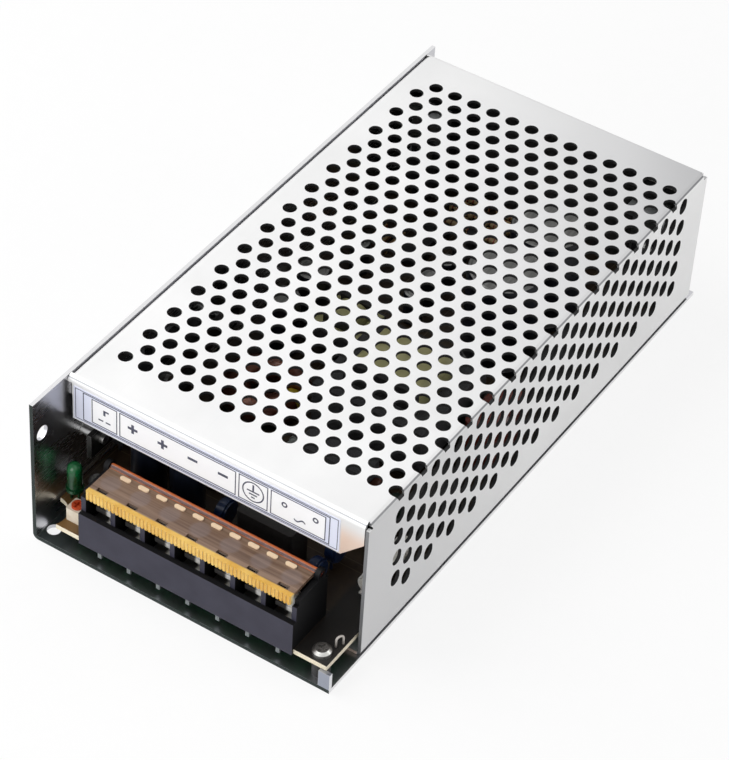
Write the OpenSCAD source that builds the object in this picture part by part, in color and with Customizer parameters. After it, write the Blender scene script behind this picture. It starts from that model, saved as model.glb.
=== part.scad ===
// Enclosed switching power supply: folded chassis, perforated cover, circuit board
// and a screw terminal strip under a hinged cover.
// Frame: origin under the middle of the base, X across, Y from the terminals to the rear, Z up.

/* [Case] */
// Width of the case
case_w = 98; // [97:1:120]
// Length of the case
case_l = 199; // [198:1:240]
// Height of the case
case_h = 50; // [49:1:70]
// Sheet thickness of the chassis
chassis_t = 1.2; // [0.8:0.1:1.6]
// Sheet thickness of the cover
cover_t = 1; // [0.6:0.1:1.4]
// Outer radius of every fold
fold_r = 1.8; // [1.7:0.1:2.4]
// Length of the open terminal bay
bay_l = 15; // [14.5:0.5:18]
// How far the chassis runs past the cover at the rear
rear_step = 3.5; // [1:0.5:5]
// Height of the cover's front lip
lip_h = 14.5; // [12:0.5:16]
// Gap between the lip and the left wall
lip_gap = 1.6; // [0.4:0.1:3]
// Corner cut off the end of the lip
lip_cut = 7; // [2:0.5:9]
// Height of the cover's left flange
flange_h = 8; // [6:0.5:10]
// Width of the cover's bottom flange
foot_w = 8; // [6:0.5:9]
// Gap between folded sheets that slide together
sheet_gap = 0.1; // [0.05:0.05:0.3]
// Relief between neighbouring flanges
relief = 0.3; // [0.2:0.1:0.8]

/* [Perforation] */
// Diameter of the top holes
hole_d = 4.2; // [3:0.1:4.6]
// Distance between holes in a row
hole_pitch = 6.7; // [6:0.1:9]
// Distance between rows
row_pitch = 5.6; // [5:0.1:8]
// Distance between side slots in a column
slot_pitch = 7.9; // [7:0.1:10]
// Length of a side slot
slot_l = 5.2; // [4.4:0.1:6.4]
// Width of a side slot
slot_w = 4.2; // [3:0.1:4.4]
// Depth of the first side slot's centre below the top
slot_drop = 3.8; // [3.8:0.1:6]
// Plain strip behind the front edge
front_blank = 15.3; // [12:0.1:30]
// Plain strip before the rear edge
rear_blank = 13.5; // [12:0.1:30]
// Plain strip along the left edge
left_blank = 9.2; // [7:0.1:20]
// Least distance from a top hole's centre to the right wall
right_blank = 1.5; // [1.5:0.1:20]
// Plain strip at the bottom of the right wall
side_blank = 14; // [8:0.5:24]

/* [Board] */
// Thickness of the circuit board
board_t = 1.6; // [1:0.1:2]
// Height of the board standoffs
standoff_h = 5.8; // [5.2:0.1:7]
// Gap between the board and the walls
board_gap = 0.8; // [0.5:0.1:1.5]
// Gap between the board and the front of the chassis
board_front = 1; // [0.6:0.1:1.8]
// Thickness of the insulating sheet
sheet_t = 0.3; // [0.2:0.1:0.5]
// Radius of the round notch in the board's corner
notch_r = 6.2; // [5:0.1:7]

/* [Terminal strip] */
// Distance between terminals
way_pitch = 9.8; // [8.4:0.1:10.2]
// Thickness of the walls between terminals
way_wall = 1.5; // [1.2:0.1:2]
// Depth of the strip, front to back
strip_d = 15.4; // [14.8:0.1:16]
// Height of the solid base under the terminals
strip_base = 5.6; // [5:0.1:7]
// Height of the walls above the base
strip_wall_h = 11.2; // [10.6:0.1:12]
// Height of the sill in front of the terminals
sill_h = 4.1; // [3.4:0.1:4.6]
// Thickness of the sill
sill_t = 1.1; // [0.8:0.1:1.2]
// Thickness of the skirt in front of the board's edge
skirt_t = 0.6; // [0.4:0.05:0.7]
// Middle of the strip across the case
strip_x = 1.6; // [-2:0.1:2]
// Thickness of the contact strips
contact_t = 0.8; // [0.6:0.1:1]
// Width of a clamp plate
clamp_w = 5.8; // [5.4:0.1:6.8]
// Thickness of a clamp plate
clamp_t = 1; // [0.8:0.1:1.2]
// Open height under a raised clamp plate
clamp_lift = 3; // [3:0.1:3.4]
// Radius of a terminal screw's head
screw_head_r = 2.8; // [2.6:0.1:3.2]
// Height of a terminal screw's head
screw_head_h = 2.2; // [1.8:0.1:2.4]
// Radius of a terminal screw's thread
screw_r = 1.65; // [1.4:0.05:1.8]

/* [Terminal cover] */
// Thickness of the hinged cover
lid_t = 1.1; // [0.9:0.1:1.3]
// Depth of the cover's front lip below its top face
lid_lip = 3.1; // [2.6:0.1:3.3]
// Radius of the hinge bar
hinge_bar_r = 1.1; // [1:0.05:1.4]
// Radius of the hinge pins
hinge_pin_r = 0.9; // [0.7:0.05:0.95]
// Radial clearance of the hinge pins
hinge_fit = 0.05; // [0.03:0.01:0.1]

/* [Fasteners] */
// Radius of an M3 thread
m3_r = 1.5; // [1.4:0.05:1.55]
// Radius of a countersunk M3 head
m3_head_r = 2.8; // [2.4:0.1:3]
// Clearance round a screw in a plain hole
screw_fit = 0.15; // [0.1:0.05:0.3]
// Clearance round a screw in a threaded hole
thread_fit = 0.03; // [0.02:0.01:0.06]
// Radius of the threaded mounting holes
mount_r = 1.65; // [1.5:0.05:2]
// Distance between the base mounting holes across the case
mount_x = 60; // [40:1:66]
// Distance between the base mounting holes along the case
mount_y = 140; // [100:1:150]
// Distance between the side mounting holes
side_mount_y = 148; // [120:1:160]
// Height of the side mounting holes
side_mount_z = 14; // [12:0.5:15]

/* [Hidden] */

$fn = 48;
eps = 0.01;
cut = 1;

// Outside faces
x_left = -case_w / 2;
x_right = case_w / 2;
y_front = -case_l / 2;
y_rear = case_l / 2;
inner_left = x_left + chassis_t;
inner_right = x_right - cover_t;

// Cover
cover_x0 = inner_left + sheet_gap;
cover_y0 = y_front + bay_l;
cover_y1 = y_rear - rear_step;
cover_l = cover_y1 - cover_y0;
cover_z0 = chassis_t + sheet_gap;
lip_x1 = inner_right - relief;
rows = floor((cover_l - front_blank - rear_blank) / row_pitch) + 1;
row_holes = floor((case_w - left_blank - right_blank) / hole_pitch) + 1;
side_span = case_h - slot_drop - side_blank;
function slots_in(row) = floor((side_span - (row % 2 == 0 ? slot_pitch / 2 : 0)) / slot_pitch) + 1;

// Board
board_z = chassis_t + standoff_h;
board_top = board_z + board_t;
board_x0 = inner_left + board_gap;
board_x1 = inner_right - board_gap;
board_y0 = y_front + board_front;
board_y1 = cover_y1 - cover_t - 3;
board_mid = (board_y0 + board_y1) / 2;
notch_c = [x_left + 1.7, y_front + 3.7];
corner_hole = [x_left + 3.6, y_front + 4.7];
standoff_r = 2.6;
pan_r = 2.7;
pan_h = 1.8;
board_screw_reach = 3.4;
stem_r = 1.8;
board_spots = [
    [x_right - 5.7, y_front + 4.6], [x_left + 7, cover_y0 + 5.5],
    [x_left + 8, board_mid + 27], [x_right - 16, board_mid + 16],
    [x_left + 6.5, cover_y1 - 8], [x_right - foot_w - standoff_r - 0.6, cover_y1 - 8]
];
sheet_x0 = inner_left + 3;
sheet_x1 = inner_right - foot_w - 2;

// Cover screws
side_screw_z = case_h - flange_h / 2 - 0.5;
side_screw_y = [cover_y0 + 22, board_mid + 11, cover_y1 - 16];
base_screw_x = x_right - foot_w / 2 - 0.6;
base_screw_y = [cover_y0 + 10, board_mid + 7, cover_y1 - 18];

// Terminal strip: one screw node and one clamp plate node for each way
ways = 7;
strip_w = ways * way_pitch + way_wall;
strip_x0 = strip_x - strip_w / 2;
strip_x1 = strip_x + strip_w / 2;
skirt_gap = 0.1;
strip_y0 = board_y0 - skirt_gap;
strip_y1 = strip_y0 + strip_d;
strip_rear_t = 3.2;
cell_floor = board_top + strip_base;
cell_top = cell_floor + strip_wall_h;
cell_w = way_pitch - way_wall;
cell_depth = strip_d - strip_rear_t;
step_d = 2;
step_h = 1.8;
screw_y = strip_y0 + 6.6;
contact_top = cell_floor + contact_t;
clamp_z = contact_top + clamp_lift;
head_z = clamp_z + clamp_t + 0.1;
leg_w = 1.2;
leg_t = 0.8;
leg_fit = 0.15;
leg_drop = standoff_h - sheet_t - 1.3;
wall_set_back = 0.8;
contact_y0 = strip_y0 + sill_t + 0.1;
leg_y = strip_y0 + 1.6;
function way_x(i) = strip_x0 + way_wall / 2 + (i - 0.5) * way_pitch;

// Hinged cover
lid_gap = 0.6;
bar_gap = 0.15;
lid_z = cell_top + lid_gap;
hinge_y = strip_y1 - 2.9;
hinge_z = cell_top + bar_gap + hinge_bar_r;
lid_side_gap = 0.3;
lid_x0 = strip_x0 + way_wall + lid_side_gap;
lid_x1 = strip_x1 - way_wall - lid_side_gap;
lid_y0 = strip_y0 + 0.3;
lid_lip_t = 1.2;
ear_r = 1.7;
rib_pitch = 1.2;
beads = 10;

// Left of the strip
lamp_x = x_left + 5.8;
lamp_y = y_front + 11.6;
lamp_z = board_top + 4.4;
lamp_r = 2.2;
trimmer_x = strip_x0 - 5;
trimmer_y = y_front + 6.6;
trimmer_w = 4.8;
trimmer_h = 4.4;
rotor_r = 1.75;

// Parts on the left wall
pad_t = 0.3;
package_t = 4.8;
package_w = 15.6;
package_h = 20.8;
package_legs = 4;
bar_t = 1.5;
bar_h = 8;
bar_end = 5;
pad_x = inner_left;
package_x = pad_x + pad_t;
bar_x = package_x + package_t;
rectifier_inset = 25.5;
rectifier_step = 22;
rectifier_y = [for (k = [0, 1]) cover_y0 + rectifier_inset + k * rectifier_step];
bar_inset = 6.5;
bar_step = 30;
bar_y = [for (k = [0:2]) cover_y0 + bar_inset + k * bar_step];
bar_z = board_top + 17;

// Sizes of the parts on the board
bulk_r = 11;
bulk_h = 32.5;
bulk_gap = 2;
output_r = 5;
output_h = 20;
output_step = [13, 15];
small_r = 3;
small_h = 11;
small_step = 9;
part_gap = 0.5;
film_size = [18, 9, 15];
film_block = [8, 18, 14];
coupling_size = [9, 20, 17];
safety_r = 4;
safety_t = 3.4;
safety_step = 10;
thermistor_r = 6;
thermistor_t = 4;
bridge_size = [4.6, 22, 15];
bridge_pin_step = 5;
chip_size = [6.4, 19.6, 3.4];
chip_pin_step = 2.54;
resistor_l = 6;
resistor_r = 1.1;
resistor_lift = 1.3;
resistor_step = 3.2;
resistor_rows = 5;
power_l = 13;
power_r = 2.4;
power_lift = 3;
power_step = 8;
to92_r = 2.4;
to92_h = 4.6;
to92_step = 8;
sink_w = 13;
sink_t = 1.5;
sink_h = 34;
sink_lip = 7;
switch_w = 10;
switch_h = 9.5;
switch_tab = 6;
switch_t = 4.4;
switch_legs = 5;
tab_t = 1.3;

// Places on the board, as shares of its width and length, from its front left corner
function on_board(u, v) = [board_x0 + u * (board_x1 - board_x0), board_y0 + v * (board_y1 - board_y0)];
transformer_at = on_board(0.648, 0.444);
driver_at = on_board(0.318, 0.554);
output_choke_at = on_board(0.244, 0.391);
filter_choke_at = on_board(0.679, 0.255);
bulk_at = [for (s = [-1, 1]) on_board(0.7, 0.753) + [0, s * (bulk_r + bulk_gap / 2)]];
output_at = concat(
    [for (x = [-1, 1], y = [-1, 1])
        on_board(0.26, 0.173) + [x * output_step[0] / 2, y * output_step[1] / 2]],
    [for (y = [-1, 1]) on_board(0.149, 0.543) + [0, y * output_step[1] / 2]]
);
small_at = concat([for (k = [-1:1]) on_board(0.403, 0.724) + [0, k * small_step]], [on_board(0.138, 0.727)]);
film_at = on_board(0.626, 0.134);
film_block_at = on_board(0.934, 0.323);
coupling_at = on_board(0.918, 0.496);
safety_at = concat([on_board(0.457, 0.139)],
    [for (s = [-1, 1]) on_board(0.8, 0.144) + [0, s * safety_step / 2]]);
thermistor_at = [film_block_at[0] - (film_block[0] + thermistor_t) / 2 - part_gap, on_board(1, 0.265)[1]];
fuse_at = [x_right - 7, on_board(1, 0.192)[1]];
bridge_at = on_board(0.924, 0.664);
chip_at = on_board(0.244, 0.832);
resistor_rows_at = [on_board(0.265, 0.939), on_board(0.403, 0.939)];
resistor_trio_at = on_board(0.13, 0.811);
power_pair_at = on_board(0.573, 0.937);
power_single_at = on_board(0.446, 0.307);
to92_at = concat([for (s = [-1, 1]) on_board(0.393, 0.842) + [0, s * to92_step / 2]], [on_board(0.881, 0.758)]);
sink_at = [[x_left + 11.5, cover_y1 - 14], [x_right - 9, cover_y1 - 14]];

// ---------------------------------------------------------------- helpers

// Extrudes a section drawn in X and Z along Y
module along_y(y0, y1) {
    translate([0, y1, 0]) rotate([90, 0, 0]) linear_extrude(y1 - y0) children();
}

// Extrudes a section drawn in Y and Z along X
module along_x(x0, x1) {
    translate([x0, 0, 0]) rotate([90, 0, 90]) linear_extrude(x1 - x0) children();
}

// Section of a fold: outer corner at the origin, legs along +X and -Y
module fold_section(a, b, t) {
    translate([fold_r, -t]) square([a - fold_r, t]);
    translate([0, -b]) square([t, b - fold_r]);
    translate([fold_r, -fold_r]) intersection() {
        difference() {
            circle(fold_r);
            circle(fold_r - t);
        }
        translate([-fold_r, 0]) square(fold_r);
    }
}

module rounded_rect(w, h, r) {
    translate([r, 0]) square([w - 2 * r, h]);
    translate([0, r]) square([w, h - 2 * r]);
    for (x = [r, w - r], y = [r, h - r]) translate([x, y]) circle(r);
}

module rounded_box(size, r) {
    translate([-size[0] / 2, -size[1] / 2, 0]) linear_extrude(size[2]) rounded_rect(size[0], size[1], r);
}

// Slot along Y, centred on the origin
module slot_2d(w, l) {
    square([w, l - w], center = true);
    for (s = [-1, 1]) translate([0, s * (l - w) / 2]) circle(w / 2);
}

module cross_recess(r, depth) {
    for (a = [0, 90]) rotate(a) translate([-r, -r / 4, -depth]) cube([2 * r, r / 2, depth + cut]);
}

// Countersunk screw along -Z, its flat head at z = 0
module flat_screw(l) {
    difference() {
        union() {
            translate([0, 0, -(m3_head_r - m3_r)]) cylinder(h = m3_head_r - m3_r, r1 = m3_r, r2 = m3_head_r);
            translate([0, 0, -l]) cylinder(h = l, r = m3_r);
        }
        cross_recess(1.4, 0.9);
    }
}

// The hole that a flat screw needs in a sheet of thickness t
module flat_hole(t) {
    translate([0, 0, -t - cut]) cylinder(h = t + 2 * cut, r = m3_r + screw_fit);
    translate([0, 0, -(m3_head_r - m3_r)])
        cylinder(h = m3_head_r - m3_r + eps, r1 = m3_r + screw_fit, r2 = m3_head_r + screw_fit + eps);
}

// Pan-head screw along -Z, its head on z = 0
module pan_screw(head_r, head_h, r, l) {
    difference() {
        union() {
            cylinder(h = head_h * 0.6, r = head_r);
            translate([0, 0, head_h * 0.6]) cylinder(h = head_h * 0.4, r1 = head_r, r2 = head_r * 0.7);
            translate([0, 0, -l]) cylinder(h = l, r = r);
        }
        translate([0, 0, head_h]) cross_recess(head_r * 0.55, head_h * 0.5);
    }
}

// ---------------------------------------------------------------- case

module mount_spots() {
    for (x = [-1, 1], y = [-1, 1]) translate([x * mount_x / 2, y * mount_y / 2, 0]) children();
}

module side_mount_spots() {
    for (s = [-1, 1]) translate([x_left, s * side_mount_y / 2, side_mount_z]) rotate([0, 90, 0]) children();
}

module chassis() {
    tab_w = 3.6;
    color("lightgray") difference() {
        union() {
            along_y(y_front, y_rear) translate([x_left, 0]) mirror([0, 1])
                fold_section(case_w, case_h, chassis_t);
            translate([x_right - tab_w, y_front, 0]) cube([tab_w, chassis_t, board_z - 0.1]);
        }
        mount_spots() translate([0, 0, -cut]) cylinder(h = chassis_t + 2 * cut, r = mount_r);
        side_mount_spots() translate([0, 0, -cut]) cylinder(h = chassis_t + 2 * cut, r = mount_r);
        for (p = board_spots) translate([p[0], p[1], -cut]) cylinder(h = chassis_t + 2 * cut, r = stem_r);
        translate([corner_hole[0], corner_hole[1], -cut]) cylinder(h = chassis_t + 2 * cut, r = 2);
        translate([x_left - cut, y_front + 3.7, case_h - 12.5]) rotate([0, 90, 0])
            cylinder(h = chassis_t + 2 * cut, r = 2.3);
        for (y = side_screw_y) translate([x_left, y, side_screw_z]) rotate([0, -90, 0]) flat_hole(chassis_t);
        for (y = bar_y) translate([x_left, y, bar_z]) rotate([0, -90, 0]) flat_hole(chassis_t);
        for (y = base_screw_y) translate([base_screw_x, y, 0]) rotate([180, 0, 0]) flat_hole(chassis_t);
    }
}

// Circles of the top pattern, seen from above
module top_holes() {
    for (row = [0:rows - 1], k = [0:row_holes - 1 - row % 2])
        translate([x_left + left_blank + (k + (row % 2) / 2) * hole_pitch,
            cover_y0 + front_blank + row * row_pitch]) circle(hole_d / 2, $fn = 32);
}

// Slots of the right wall, drawn in Y and Z
module side_holes() {
    for (row = [0:rows - 1], k = [0:slots_in(row) - 1])
        translate([cover_y0 + front_blank + row * row_pitch,
            case_h - slot_drop - (k + (row % 2 == 0 ? 0.5 : 0)) * slot_pitch])
                slot_2d(slot_w, slot_l, $fn = 32);
}

module cover_section(reach) {
    translate([cover_x0, case_h]) fold_section(case_w / 2, reach, cover_t);
    translate([x_right, case_h]) mirror([1, 0]) fold_section(case_w / 2, case_h / 2, cover_t);
}

module mesh_cover() {
    wall_top = case_h - fold_r;
    color("gainsboro") difference() {
        union() {
            along_y(cover_y0 + fold_r, cover_y1 - fold_r) cover_section(flange_h);
            along_y(cover_y0, cover_y1) translate([x_right, cover_z0]) mirror([1, 0]) mirror([0, 1])
                fold_section(foot_w, wall_top - cover_z0, cover_t);
            along_x(cover_x0, lip_x1) translate([cover_y0, case_h])
                fold_section(fold_r + eps, lip_h, cover_t);
            along_x(cover_x0, lip_x1) translate([cover_y1, case_h]) mirror([1, 0])
                fold_section(fold_r + eps, case_h - cover_z0 - cover_t - relief, cover_t);
        }
        translate([0, 0, case_h - fold_r - eps]) linear_extrude(fold_r + cut) top_holes();
        along_x(x_right - fold_r, x_right + cut) side_holes();
        along_y(cover_y0 - cut, cover_y0 + cover_t + eps)
            polygon([[lip_x1 - lip_cut, case_h - lip_h - eps], [lip_x1 + eps, case_h - lip_h - eps],
                [lip_x1 + eps, case_h - lip_h + lip_cut]]);
        translate([cover_x0 - cut, cover_y0 - cut, case_h - lip_h - cut])
            cube([lip_gap + cut, cover_t + cut + eps, lip_h + cut - fold_r]);
        for (y = side_screw_y) translate([inner_left, y, side_screw_z]) rotate([0, 90, 0])
            cylinder(h = cover_t + 2 * cut, r = m3_r + thread_fit);
        for (y = base_screw_y) translate([base_screw_x, y, chassis_t])
            cylinder(h = cover_t + cut, r = m3_r + thread_fit);
    }
}

// A plain adhesive label that covers most of the front lip
module terminal_label() {
    label_t = 0.15;
    label_x0 = cover_x0 + lip_gap + 0.5;
    label_x1 = lip_x1 - lip_cut - 0.4;
    label_h = lip_h - fold_r - 1;
    color("white") translate([label_x0, cover_y0 - label_t, case_h - lip_h + 0.5])
        cube([label_x1 - label_x0, label_t, label_h]);
}

module cover_side_screws() {
    color("silver") for (y = side_screw_y) translate([x_left, y, side_screw_z]) rotate([0, -90, 0])
        flat_screw(4);
}

module cover_base_screws() {
    color("silver") for (y = base_screw_y) translate([base_screw_x, y, 0]) rotate([180, 0, 0]) flat_screw(4);
}

// ---------------------------------------------------------------- board and its supports

module insulating_sheet() {
    color("wheat") difference() {
        translate([sheet_x0, cover_y0 + 2, chassis_t])
            cube([sheet_x1 - sheet_x0, board_y1 - cover_y0 - 2, sheet_t]);
        for (p = board_spots) translate([p[0], p[1], 0]) cylinder(h = board_z, r = standoff_r + 0.4);
        mount_spots() cylinder(h = board_z, r = mount_r + 1);
    }
}

module board_standoffs() {
    color("silver") for (p = board_spots) translate([p[0], p[1], 0]) difference() {
        union() {
            translate([0, 0, chassis_t]) cylinder(h = standoff_h, r = standoff_r);
            cylinder(h = chassis_t + eps, r = stem_r - thread_fit);
        }
        translate([0, 0, chassis_t]) cylinder(h = standoff_h + cut, r = m3_r + thread_fit);
    }
}

module circuit_board() {
    color("darkgreen") difference() {
        translate([board_x0, board_y0, board_z]) cube([board_x1 - board_x0, board_y1 - board_y0, board_t]);
        translate([notch_c[0], notch_c[1], board_z - cut])
            cylinder(h = board_t + 2 * cut, r = notch_r, $fn = 64);
        for (p = board_spots) translate([p[0], p[1], board_z - cut])
            cylinder(h = board_t + 2 * cut, r = m3_r + screw_fit);
        for (i = [1:ways]) translate([way_x(i), leg_y, board_z - cut]) leg_hole(board_t + 2 * cut);
    }
}

module board_screws() {
    color("silver") for (p = board_spots) translate([p[0], p[1], board_top])
        pan_screw(pan_r, pan_h, m3_r, board_t + board_screw_reach);
}

// ---------------------------------------------------------------- terminal strip

module leg_hole(h) {
    translate([-leg_w / 2 - leg_fit, -leg_t / 2 - leg_fit, 0])
        cube([leg_w + 2 * leg_fit, leg_t + 2 * leg_fit, h]);
}

// Outline of a wall between terminals, drawn in Y and Z
module way_wall_section() {
    wall_y0 = strip_y0 + wall_set_back;
    polygon([[wall_y0, cell_floor - eps], [wall_y0, cell_top - step_h], [strip_y0 + step_d, cell_top - step_h],
        [strip_y0 + step_d, cell_top], [strip_y1 - strip_rear_t + eps, cell_top],
        [strip_y1 - strip_rear_t + eps, cell_floor - eps]]);
}

module terminal_housing() {
    rear_h = cell_top - cell_floor - 1.6;
    color("#2b2b33") difference() {
        union() {
            translate([strip_x0, strip_y0, board_top]) cube([strip_w, strip_d, strip_base]);
            translate([strip_x0, strip_y0 - skirt_t, board_z - 0.2])
                cube([strip_w, skirt_t + eps, cell_floor + sill_h - board_z + 0.2]);
            translate([strip_x0, strip_y0, cell_floor - eps]) cube([strip_w, sill_t, sill_h + eps]);
            translate([strip_x0, strip_y1 - strip_rear_t, cell_floor - eps])
                cube([strip_w, strip_rear_t, rear_h]);
            for (i = [0:ways]) translate([strip_x0 + i * way_pitch, 0, 0])
                along_x(0, way_wall) way_wall_section();
            for (x = [strip_x0, strip_x1 - way_wall]) {
                translate([x, hinge_y - ear_r, cell_floor]) cube([way_wall, 2 * ear_r, hinge_z - cell_floor]);
                translate([x, hinge_y, hinge_z]) rotate([0, 90, 0]) cylinder(h = way_wall, r = ear_r);
            }
        }
        translate([strip_x0 - cut, hinge_y, hinge_z]) rotate([0, 90, 0])
            cylinder(h = strip_w + 2 * cut, r = hinge_pin_r + hinge_fit);
        for (i = [1:ways]) {
            translate([way_x(i), leg_y, board_top - cut]) leg_hole(strip_base + 2 * cut);
            translate([way_x(i), screw_y, board_top + 0.8]) cylinder(h = strip_base, r = screw_r + 0.35);
        }
    }
}

module terminal_contacts() {
    w = clamp_w + 0.8;
    color("silver") for (i = [1:ways]) translate([way_x(i), 0, 0]) difference() {
        union() {
            translate([-w / 2, contact_y0, cell_floor])
                cube([w, strip_y0 + cell_depth - 0.6 - contact_y0, contact_t]);
            translate([-leg_w / 2, leg_y - leg_t / 2, board_z - leg_drop])
                cube([leg_w, leg_t, cell_floor - board_z + leg_drop + eps]);
        }
        translate([0, screw_y, cell_floor - cut]) cylinder(h = contact_t + 2 * cut, r = screw_r + thread_fit);
    }
}

// Square plate that presses on the wire, with its two long edges turned down
module clamp_plate(i) {
    grip = 0.5;
    color("lightgray") translate([way_x(i), screw_y, clamp_z]) difference() {
        union() {
            translate([-clamp_w / 2, -clamp_w / 2, 0]) cube([clamp_w, clamp_w, clamp_t]);
            for (s = [-1, 1]) translate([-clamp_w / 2, s * (clamp_w / 2 - 0.4) - 0.4, -grip])
                cube([clamp_w, 0.8, grip + eps]);
        }
        translate([0, 0, -cut]) cylinder(h = clamp_t + 2 * cut, r = screw_r + 0.08);
    }
}

module terminal_screw(i) {
    reach = head_z - contact_top + 2.2;
    color("silver") translate([way_x(i), screw_y, head_z])
        pan_screw(screw_head_r, screw_head_h, screw_r, reach);
}

// Outline of the hinged cover's front strip seen from above, ribbed on its front face
module ribbed_strip() {
    n = floor((lid_x1 - lid_x0) / rib_pitch);
    pitch = (lid_x1 - lid_x0) / n;
    translate([lid_x0, lid_y0 + 0.3]) square([lid_x1 - lid_x0, lid_lip_t - 0.3]);
    for (k = [0:n - 1]) translate([lid_x0 + (k + 0.22) * pitch, lid_y0]) square([pitch * 0.56, 0.3 + eps]);
}

module terminal_cover() {
    pad_l = 3.4;
    pad_w = 1.3;
    mid = (lid_x0 + lid_x1) / 2;
    span = (lid_x1 - lid_x0) * 0.9;
    color("orange") difference() {
        union() {
            translate([lid_x0, lid_y0 + lid_lip_t - eps, lid_z])
                cube([lid_x1 - lid_x0, hinge_y - lid_y0 - lid_lip_t + eps, lid_t]);
            translate([0, 0, lid_z + lid_t - lid_lip]) linear_extrude(lid_lip) ribbed_strip();
            translate([lid_x0, hinge_y, hinge_z]) rotate([0, 90, 0])
                cylinder(h = lid_x1 - lid_x0, r = hinge_bar_r);
            translate([strip_x0 + 0.2, hinge_y, hinge_z]) rotate([0, 90, 0])
                cylinder(h = strip_w - 0.4, r = hinge_pin_r);
            for (k = [0:beads - 1])
                translate([mid + ((k + 0.5) / beads - 0.5) * span, hinge_y - 2.6, lid_z + lid_t - eps])
                    rotate(90) linear_extrude(0.45) slot_2d(pad_w, pad_l);
        }
        for (i = [1:ways]) translate([way_x(i) - 1.7, lid_y0 + 1.9, lid_z - cut])
            cube([3.4, 1.3, lid_t + 2 * cut]);
    }
}

// ---------------------------------------------------------------- lamp and trimmer

module power_lamp() {
    body_h = 7.4;
    color("green") {
        translate([lamp_x, lamp_y, lamp_z]) {
            cylinder(h = 1, r = lamp_r + 0.4);
            cylinder(h = body_h, r = lamp_r);
            translate([0, 0, body_h]) sphere(lamp_r);
        }
        for (s = [-1, 1]) translate([lamp_x + s * 1.27 - 0.25, lamp_y - 0.25, board_top])
            cube([0.5, 0.5, lamp_z - board_top + eps]);
    }
}

module trimmer_body() {
    color("ivory") translate([trimmer_x, trimmer_y, board_top]) difference() {
        rounded_box([trimmer_w, trimmer_w, trimmer_h], 0.5);
        translate([0, 0, trimmer_h - 2]) cylinder(h = 2 + cut, r = rotor_r + hinge_fit);
    }
}

module trimmer_rotor() {
    stand = 0.6;
    color("orangered") translate([trimmer_x, trimmer_y, board_top + trimmer_h - 2 + 0.05]) difference() {
        cylinder(h = 2 + stand, r = rotor_r);
        translate([0, 0, 2 + stand]) cross_recess(1.2, 0.8);
        translate([0.9, -0.2, 2 + stand - 0.5]) cube([1.2, 0.4, 1]);
    }
}

// ---------------------------------------------------------------- wound parts

// E core pair seen from above: legs along Y, the middle one inside the winding
// size = [width, length, thickness], yoke = yoke thickness, leg = outer leg, mid = middle leg
module e_core(size, yoke, leg, mid) {
    w = size[0];
    d = size[1];
    translate([0, 0, -size[2] / 2]) linear_extrude(size[2]) {
        for (s = [-1, 1]) {
            translate([-w / 2, s * (d - yoke) / 2 - yoke / 2]) square([w, yoke]);
            translate([s * (w - leg) / 2 - leg / 2, -d / 2]) square([leg, d]);
        }
        translate([-mid / 2, -d / 2]) square([mid, d]);
    }
}

// Bobbin: a square tube on the middle leg with a flange at each end and feet down to the board
module e_bobbin(core, yoke, mid, coil, drop) {
    tube = 1;
    fit = 0.15;
    flange = 1.2;
    half = (core[1] - 2 * yoke) / 2 - 0.1;
    difference() {
        union() {
            translate([-mid / 2 - fit - tube, -half, -core[2] / 2 - fit - tube])
                cube([mid + 2 * (fit + tube), 2 * half, core[2] + 2 * (fit + tube)]);
            for (s = [-1, 1]) translate([-coil[0] / 2, s * (half - flange / 2) - flange / 2, -coil[1] / 2])
                cube([coil[0], flange, coil[1]]);
            for (s = [-1, 1]) translate([-coil[0] / 2, s * (half - 1.5) - 1.5, -drop])
                cube([coil[0], 3, drop - coil[1] / 2 + eps]);
        }
        translate([-mid / 2 - fit, -half - cut, -core[2] / 2 - fit])
            cube([mid + 2 * fit, 2 * (half + cut), core[2] + 2 * fit]);
    }
}

// Taped winding: a rounded ring round the bobbin tube, between the flanges
module e_winding(core, yoke, mid, coil) {
    l = core[1] - 2 * yoke - 3.2;
    r = 3;
    inner = [mid + 2.5, core[2] + 2.5];
    rotate([90, 0, 0]) translate([0, 0, -l / 2]) linear_extrude(l) difference() {
        translate([-coil[0] / 2 + 0.3, -coil[1] / 2 + 0.3]) rounded_rect(coil[0] - 0.6, coil[1] - 0.6, r);
        translate([-inner[0] / 2, -inner[1] / 2]) square(inner);
    }
}

// Main transformer: core size, yoke, outer leg, middle leg, coil section, height of its axis
main_core = [36, 34, 14];
main_yoke = 6;
main_leg = 5.5;
main_mid = 11;
main_coil = [24, 28];
main_z = board_top + 2 + main_coil[1] / 2;

module at_transformer() {
    translate([transformer_at[0], transformer_at[1], main_z]) children();
}

module transformer_core() {
    color("#3a3a3c") at_transformer() e_core(main_core, main_yoke, main_leg, main_mid);
}

module transformer_bobbin() {
    color("#202020") at_transformer() e_bobbin(main_core, main_yoke, main_mid, main_coil, main_z - board_top);
}

module transformer_winding() {
    color("gold") at_transformer() e_winding(main_core, main_yoke, main_mid, main_coil);
}

driver_size = [16, 16, 6];
driver_yoke = 2.8;
driver_leg = 2.6;
driver_mid = 4.2;
driver_coil = [10.2, 15];
driver_z = board_top + 2 + driver_coil[1] / 2;

module at_driver() {
    translate([driver_at[0], driver_at[1], driver_z]) children();
}

module driver_core() {
    color("#3a3a3c") at_driver() e_core(driver_size, driver_yoke, driver_leg, driver_mid);
}

module driver_bobbin() {
    color("#202020") at_driver()
        e_bobbin(driver_size, driver_yoke, driver_mid, driver_coil, driver_z - board_top);
}

module driver_winding() {
    color("gold") at_driver() e_winding(driver_size, driver_yoke, driver_mid, driver_coil);
}

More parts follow.
